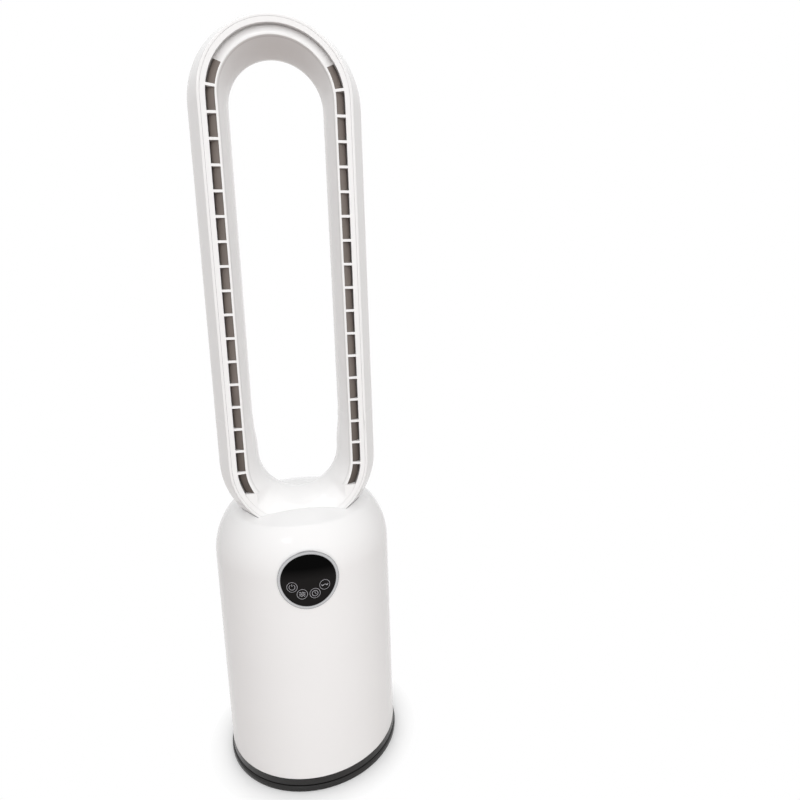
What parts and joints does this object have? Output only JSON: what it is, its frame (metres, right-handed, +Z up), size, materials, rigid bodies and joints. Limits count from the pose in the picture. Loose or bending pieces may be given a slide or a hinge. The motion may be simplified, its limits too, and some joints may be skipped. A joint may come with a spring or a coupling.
{
  "type": "bladeless fan",
  "caption": "White bladeless tower fan: a tall hollow stadium loop with ribbed front slots on a round body with a round display, which swings on a thin foot.",
  "frame": {"origin": "On the floor at the middle of the round foot, which is the swing axis.", "axes": "+Z is up along the swing axis and the tall loop, -Y is the way the air blows and the display faces, +X is the fan's left side seen from behind it."},
  "size_m": [0.2238, 0.2238, 0.8932],
  "materials": {
    "white_shell": "white glossy moulded shell",
    "dark_guide": "dark grey matte moulding behind the slot",
    "dark_foot": "near-black moulding of the two tiers of the foot",
    "silver_ring": "satin silver ring",
    "black_glass": "black glossy display window",
    "soft_rubber": "black rubber",
    "steel": "zinc-plated steel",
    "white_polymer": "natural gear polymer",
    "grey_polymer": "grey moulded polymer",
    "iron_core": "laminated iron and magnets",
    "green_board": "circuit board",
    "board_components": "board components",
    "filter_fabric": "grey filter mesh"
  },
  "bodies": {
    "foot": {"foot_shell": "dark_foot", "rubber_feet": "soft_rubber", "ballast_plate": "steel", "foot_screws": "steel", "thrust_ring": "white_polymer", "ring_gear": "white_polymer", "pivot_washer": "steel", "pivot_screw": "steel"},
    "body": {"bellmouth": "grey_polymer", "blower_deck": "grey_polymer", "blower_housing": "grey_polymer", "board_bracket": "steel", "board_parts": "board_components", "column_screws": "steel", "deck_columns": "grey_polymer", "diffuser": "grey_polymer", "display_bezel": "silver_ring", "display_glass": "black_glass", "dust_filter": "filter_fabric", "front_shell": "white_shell", "housing_screws": "steel", "inlet_pins": "steel", "intake_cover": "white_shell", "key_board": "green_board", "loop_frame": "white_shell", "loop_shell": "white_shell", "main_board": "green_board", "motor_bearings": "steel", "motor_can": "steel", "motor_stator": "iron_core", "neck_gasket": "soft_rubber", "neck_screws": "steel", "outlet_duct": "grey_polymer", "pod_cap": "grey_polymer", "power_inlet": "grey_polymer", "rear_shell": "white_shell", "rubber_isolators": "soft_rubber", "shell_screws": "steel", "slot_guide_left": "dark_guide", "slot_guide_right": "dark_guide", "swing_motor": "steel", "swing_motor_screws": "steel", "turntable": "dark_foot"},
    "impeller": {"impeller": "grey_polymer", "motor_shaft": "steel", "motor_rotor": "iron_core"},
    "pinion": {"swing_pinion": "white_polymer", "pinion_shaft": "steel"}
  },
  "joints": [
    {"name": "swing", "type": "hinge", "parent": "foot", "child": "body", "pos_m": [0, 0, 0], "axis": [0, 0, 1], "range_deg": [-40, 40]},
    {"name": "impeller_spin", "type": "hinge", "parent": "body", "child": "impeller", "pos_m": [0, 0, 0], "axis": [0, 0, 1], "continuous": true},
    {"name": "pinion_spin", "type": "hinge", "parent": "body", "child": "pinion", "pos_m": [0, 0.0375, 0], "axis": [0, 0, 1], "range_deg": [-165, 165]}
  ],
  "couplings": [
    {"joint": "pinion_spin", "follows": "swing", "ratio": 4}
  ]
}
